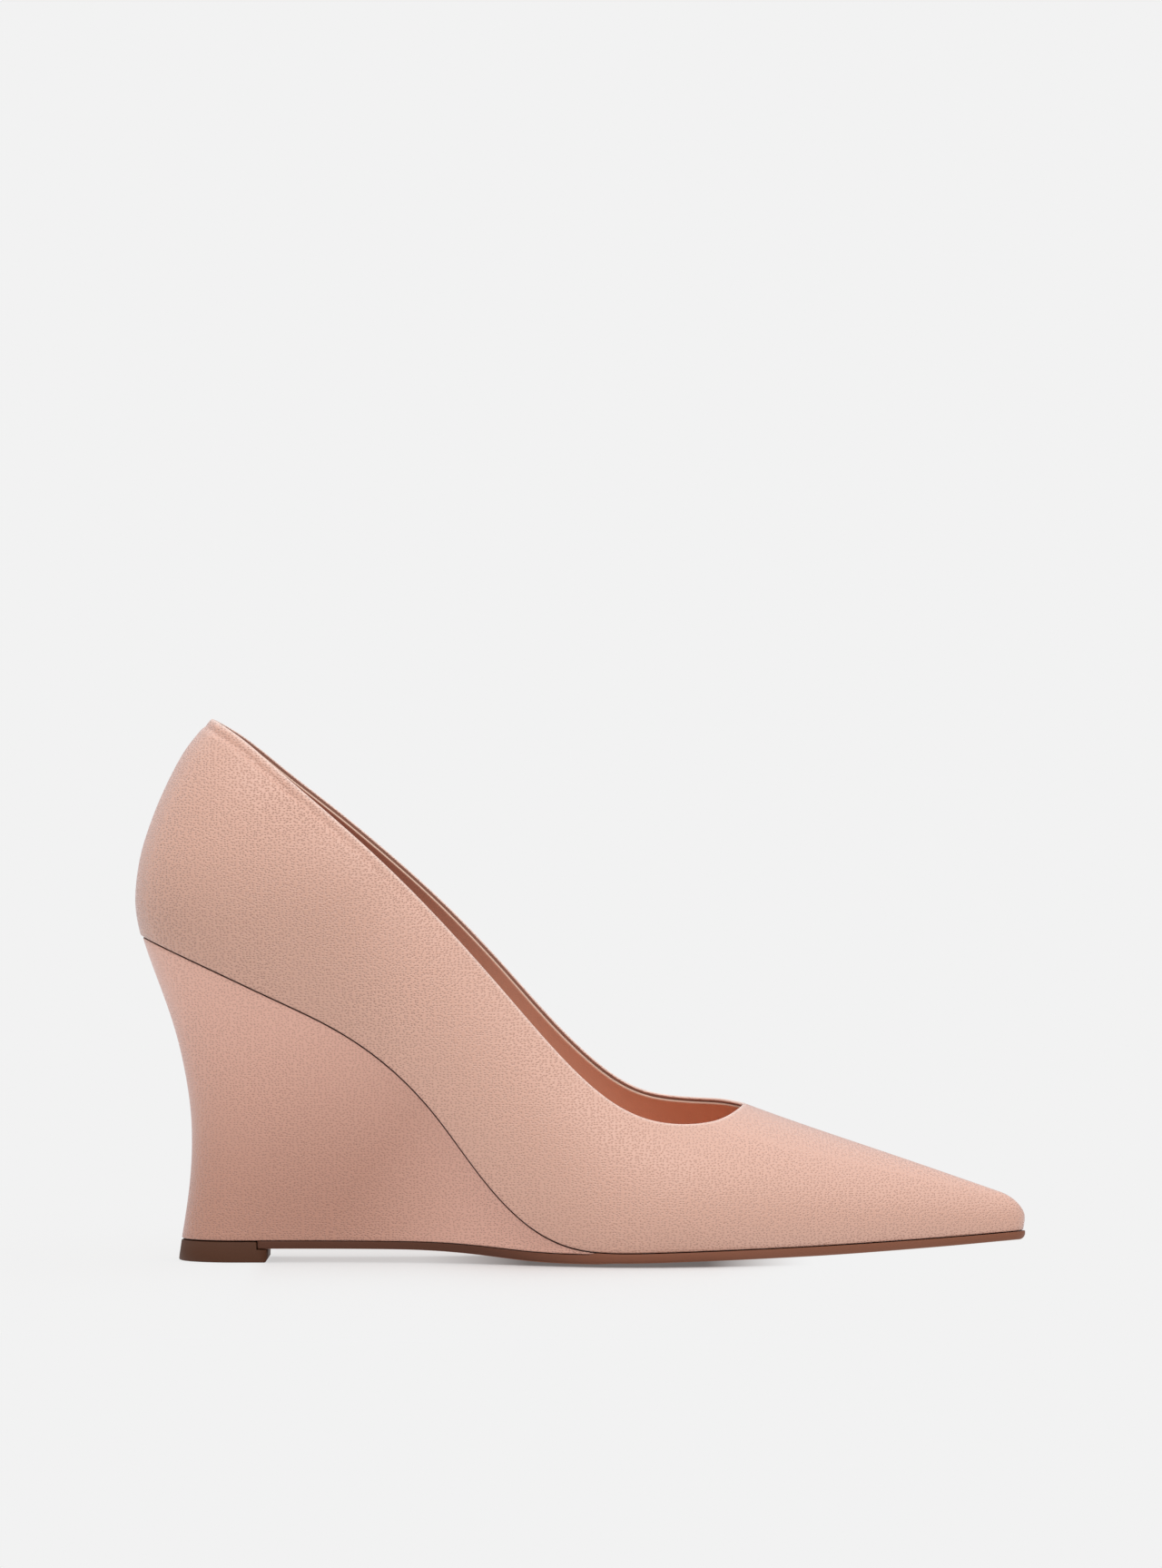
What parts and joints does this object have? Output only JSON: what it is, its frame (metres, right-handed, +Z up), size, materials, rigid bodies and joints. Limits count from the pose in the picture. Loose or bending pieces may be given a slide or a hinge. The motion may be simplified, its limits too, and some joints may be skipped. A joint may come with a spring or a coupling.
{
  "type": "wedge pump",
  "caption": "Right pointed-toe leather pump on a tall leather-covered wedge heel with a thin sole and a heel lift.",
  "frame": {"origin": "on the floor, under the middle of the shoe's bounding box", "axes": "+X from heel to toe, +Y towards the inner (medial) side of the right foot, +Z up"},
  "size_m": [0.2354, 0.0745, 0.143],
  "materials": {
    "upper_leather": "satin",
    "insole_leather": "satin",
    "wedge_leather": "satin",
    "sole_leather": "satin",
    "lift_rubber": "matte"
  },
  "bodies": {
    "root": {"upper": "upper_leather", "insole": "insole_leather", "wedge_heel": "wedge_leather", "outsole": "sole_leather", "top_piece": "lift_rubber"}
  },
  "joints": []
}
